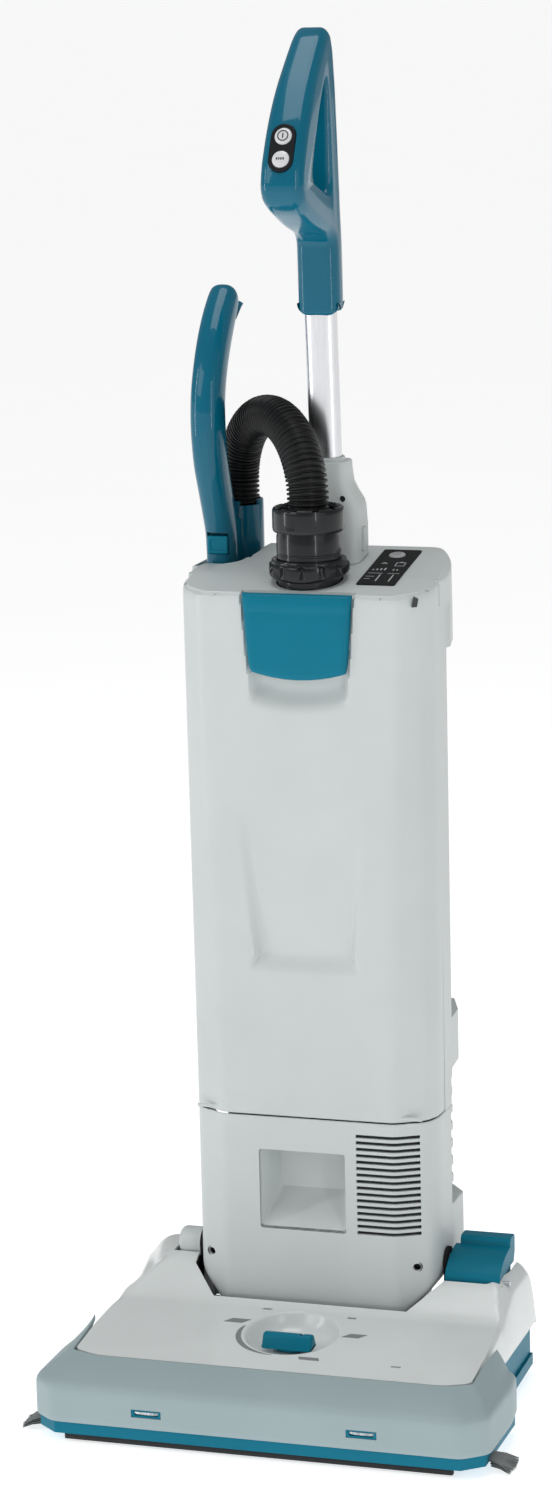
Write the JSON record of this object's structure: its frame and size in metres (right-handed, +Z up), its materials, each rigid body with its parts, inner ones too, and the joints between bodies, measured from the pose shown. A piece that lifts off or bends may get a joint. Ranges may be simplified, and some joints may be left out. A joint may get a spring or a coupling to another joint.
{
  "type": "upright vacuum cleaner",
  "caption": "Upright vacuum cleaner: wide wheeled floor head, reclining body with a front bag door, hand wand on a short hose, and a telescopic loop handle.",
  "frame": {"origin": "on the floor under the centre of the machine's bounding box", "axes": "+X to the viewer's right across the machine, -Y towards the front of the floor head, +Z up the body"},
  "size_m": [0.412, 0.32, 1.1144],
  "materials": {
    "shell_grey": "satin moulded plastic, light grey",
    "cover_white": "smooth near-white plastic",
    "bumper_blue_grey": "soft satin bumper, blue-grey",
    "teal_gloss": "polished teal plastic",
    "teal_matte": "satin teal plastic",
    "black_plastic": "satin black plastic",
    "rubber": "matte black rubber",
    "hose_black": "satin black corrugated hose",
    "aluminium": "satin anodised",
    "steel": "plain steel",
    "bristle": "grey nylon bristle",
    "bag_cloth": "fleece filter cloth",
    "filter_media": "pleated filter media",
    "lamp_lens": "clear lens",
    "button_white": "white key cap",
    "board_green": "green circuit board",
    "card": "brown board collar"
  },
  "bodies": {
    "head": {"head_base": "teal_matte", "head_cover": "cover_white", "front_bumper": "bumper_blue_grey", "felt_strip": "rubber", "lamp_left": "lamp_lens", "lamp_right": "lamp_lens", "side_bristles_left": "bristle", "side_bristles_right": "bristle", "glide_left": "black_plastic", "glide_right": "black_plastic", "brush_motor": "steel", "drive_belt": "rubber", "brush_bearing_left": "black_plastic", "brush_bearing_right": "black_plastic", "rear_axle": "steel", "pedal_pin": "steel", "pivot_bracket_left": "steel", "pivot_bracket_right": "steel", "pivot_cap_left": "shell_grey", "pivot_shaft": "steel"},
    "brush": {"brush_roll": "rubber"},
    "pulley": {"motor_pulley": "steel"},
    "wheel_left": {"rear_wheel_left": "rubber"},
    "wheel_right": {"rear_wheel_right": "rubber"},
    "pedal": {"foot_pedal": "teal_matte"},
    "knob": {"height_knob": "teal_matte"},
    "upright": {"motor_housing": "shell_grey", "rear_shell": "shell_grey", "rear_base": "shell_grey", "exhaust_grille": "shell_grey", "top_cover": "shell_grey", "control_panel": "black_plastic", "dust_bag": "bag_cloth", "bag_collar": "card", "premotor_filter": "filter_media", "suction_motor": "steel", "exhaust_filter": "filter_media", "controller_board": "board_green", "battery_left": "black_plastic", "battery_right": "black_plastic", "wand_holder": "shell_grey", "hose_flange": "black_plastic", "hose_cuff": "black_plastic", "cuff_ring": "black_plastic", "handle_bracket": "shell_grey", "door_hinge_pin": "steel", "hose": "hose_black"},
    "door": {"bag_door": "shell_grey"},
    "latch": {"door_latch": "teal_matte"},
    "battery_lid": {"battery_cover": "shell_grey"},
    "panel_key": {"panel_button": "button_white"},
    "tube_lock": {"lock_tab": "shell_grey"},
    "handle": {"handle_tube": "aluminium", "main_handle": "teal_gloss", "keypad": "black_plastic"},
    "power_key": {"power_button": "button_white"},
    "boost_key": {"boost_button": "button_white"},
    "hand_wand": {"wand": "teal_gloss"},
    "wand_key": {"wand_button": "teal_matte"}
  },
  "joints": [
    {"name": "upright_recline", "type": "hinge", "parent": "head", "child": "upright", "pos_m": [0, 0.05, 0.106], "axis": [-1, 0, 0], "range_deg": [0, 68]},
    {"name": "brush_spin", "type": "hinge", "parent": "head", "child": "brush", "pos_m": [0, -0.109, 0.027], "axis": [1, 0, 0], "continuous": true},
    {"name": "pulley_spin", "type": "hinge", "parent": "head", "child": "pulley", "pos_m": [-0.149, -0.052, 0.03], "axis": [1, 0, 0], "continuous": true},
    {"name": "wheel_left_spin", "type": "hinge", "parent": "head", "child": "wheel_left", "pos_m": [-0.128, 0.072, 0.036], "axis": [1, 0, 0], "continuous": true},
    {"name": "wheel_right_spin", "type": "hinge", "parent": "head", "child": "wheel_right", "pos_m": [0.128, 0.072, 0.036], "axis": [1, 0, 0], "continuous": true},
    {"name": "pedal_press", "type": "hinge", "parent": "head", "child": "pedal", "pos_m": [0.13, 0.035, 0.095], "axis": [-1, 0, 0], "range_deg": [0, 7], "stiffness_Nm_per_rad": 0.6, "springref_deg": -6.88},
    {"name": "height_turn", "type": "hinge", "parent": "head", "child": "knob", "pos_m": [0, -0.05, 0.057], "axis": [0, 0, 1], "range_deg": [-60, 60]},
    {"name": "bag_door_open", "type": "hinge", "parent": "upright", "child": "door", "pos_m": [0, 0.01, 0.2386], "axis": [1, 0, 0], "range_deg": [0, 75]},
    {"name": "latch_lift", "type": "hinge", "parent": "door", "child": "latch", "pos_m": [0, 0.006, 0.662], "axis": [-1, 0, 0], "range_deg": [0, 20], "stiffness_Nm_per_rad": 0.3, "springref_deg": -8.59},
    {"name": "battery_lid_open", "type": "hinge", "parent": "upright", "child": "battery_lid", "pos_m": [0, 0.1415, 0.334], "axis": [-1, 0, 0], "range_deg": [0, 95]},
    {"name": "panel_press", "type": "slide", "parent": "upright", "child": "panel_key", "axis": [0, 0.1618, -0.9868], "range_m": [0, 0.0008], "stiffness_N_per_m": 400, "springref_m": -0.0006},
    {"name": "tube_lock_press", "type": "slide", "parent": "upright", "child": "tube_lock", "axis": [-1, 0, 0], "range_m": [0, 0.0035], "stiffness_N_per_m": 400, "springref_m": -0.001},
    {"name": "handle_slide", "type": "slide", "parent": "upright", "child": "handle", "axis": [0, -0.0523, 0.9986], "range_m": [-0.115, 0.085]},
    {"name": "power_press", "type": "slide", "parent": "handle", "child": "power_key", "axis": [0, 0.8944, -0.4472], "range_m": [0, 0.001], "stiffness_N_per_m": 400, "springref_m": -0.0006},
    {"name": "boost_press", "type": "slide", "parent": "handle", "child": "boost_key", "axis": [0, 0.8944, -0.4472], "range_m": [0, 0.001], "stiffness_N_per_m": 400, "springref_m": -0.0006},
    {"name": "wand_lift", "type": "slide", "parent": "upright", "child": "hand_wand", "axis": [0, 0, 1], "range_m": [0, 0.15], "deforming": ["hose"]},
    {"name": "wand_key_press", "type": "slide", "parent": "hand_wand", "child": "wand_key", "axis": [0, 1, 0], "range_m": [0, 0.002], "stiffness_N_per_m": 400, "springref_m": -0.0006}
  ],
  "couplings": [
    {"joint": "pulley_spin", "follows": "brush_spin", "ratio": 1.3333}
  ]
}
